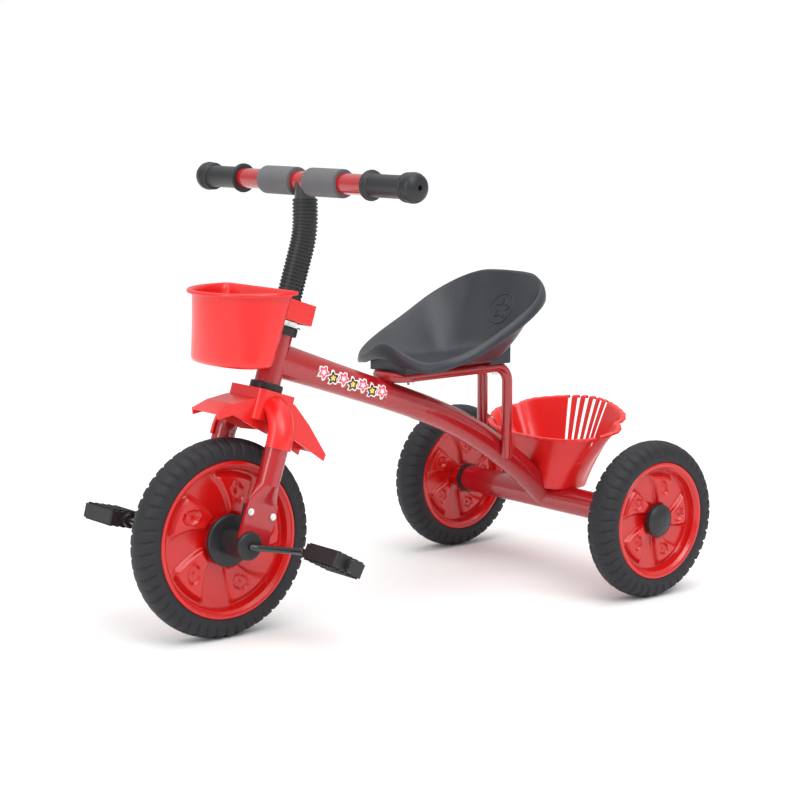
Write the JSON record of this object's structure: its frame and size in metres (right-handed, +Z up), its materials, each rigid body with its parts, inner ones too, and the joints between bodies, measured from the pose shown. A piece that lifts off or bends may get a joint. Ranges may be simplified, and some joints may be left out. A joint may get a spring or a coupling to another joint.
{
  "type": "children's tricycle",
  "caption": "Pedal tricycle for a small child: steel tube frame, bucket seat, front and rear baskets, foam-tyred wheels and a steered, pedalled front wheel.",
  "frame": {"origin": "on the ground, under the middle of the tricycle's overall box", "axes": "+X forward to the front wheel, +Y to the rider's left, +Z up"},
  "size_m": [0.753, 0.4296, 0.553],
  "materials": {
    "red_paint": "gloss",
    "black_paint": "gloss",
    "zinc_steel": "satin",
    "red_plastic": "gloss",
    "black_plastic": "satin",
    "seat_plastic": "satin",
    "tyre_foam": "matte",
    "bar_foam": "matte",
    "printed_label": "gloss"
  },
  "bodies": {
    "frame": {"head_tube": "red_paint", "main_tube": "red_paint", "rear_axle_tube": "red_paint", "seat_frame_tube": "red_paint", "headset_bush_lower": "black_plastic", "headset_bush_upper": "black_plastic", "axle_tube_bush_left": "black_plastic", "axle_tube_bush_right": "black_plastic", "rear_axle_rod": "zinc_steel", "rear_push_nuts": "zinc_steel", "rear_basket": "red_plastic", "rear_basket_screws": "zinc_steel", "seat_shell": "seat_plastic", "seat_block_front": "seat_plastic", "seat_block_rear": "seat_plastic", "seat_bolts": "zinc_steel", "frame_decals": "printed_label"},
    "steering": {"fork_tube": "red_paint", "steerer_tube": "black_paint", "headset_washer": "zinc_steel", "headset_nut": "zinc_steel", "handlebar_stem": "black_paint", "handlebar_crossbar": "red_paint", "stem_sleeve": "black_plastic", "foam_sleeve_left": "bar_foam", "foam_sleeve_right": "bar_foam", "grip_left": "black_plastic", "grip_right": "black_plastic", "front_basket": "red_plastic", "basket_clip": "red_plastic", "basket_screws": "zinc_steel", "basket_badge": "printed_label", "mudguard": "red_plastic", "bearing_block_left": "black_plastic", "bearing_block_right": "black_plastic", "block_screws": "zinc_steel"},
    "front_wheel": {"front_rim": "red_plastic", "front_tyre": "tyre_foam", "front_hub_cover_left": "black_plastic", "front_hub_cover_right": "black_plastic", "crankshaft": "black_paint", "pedal_caps": "black_plastic"},
    "pedal_left": {"pedal_left": "black_plastic"},
    "pedal_right": {"pedal_right": "black_plastic"},
    "rear_wheel_left": {"rear_rim_left": "red_plastic", "rear_tyre_left": "tyre_foam", "rear_hub_cap_left": "black_plastic"},
    "rear_wheel_right": {"rear_rim_right": "red_plastic", "rear_tyre_right": "tyre_foam", "rear_hub_cap_right": "black_plastic"}
  },
  "joints": [
    {"name": "steering", "type": "hinge", "parent": "frame", "child": "steering", "pos_m": [0.18656, 0, 0.29855], "axis": [-0.3156, 0, 0.9489], "range_deg": [-80, 80]},
    {"name": "front_wheel_spin", "type": "hinge", "parent": "steering", "child": "front_wheel", "pos_m": [0.2565, 0, 0.12], "axis": [0, 1, 0], "continuous": true},
    {"name": "pedal_left_spin", "type": "hinge", "parent": "front_wheel", "child": "pedal_left", "pos_m": [0.18618, 0.12, 0.10454], "axis": [0, 1, 0], "continuous": true},
    {"name": "pedal_right_spin", "type": "hinge", "parent": "front_wheel", "child": "pedal_right", "pos_m": [0.32682, -0.12, 0.13546], "axis": [0, 1, 0], "continuous": true},
    {"name": "rear_wheel_left_spin", "type": "hinge", "parent": "frame", "child": "rear_wheel_left", "pos_m": [-0.2755, 0.19, 0.101], "axis": [0, 1, 0], "continuous": true},
    {"name": "rear_wheel_right_spin", "type": "hinge", "parent": "frame", "child": "rear_wheel_right", "pos_m": [-0.2755, -0.19, 0.101], "axis": [0, 1, 0], "continuous": true}
  ]
}
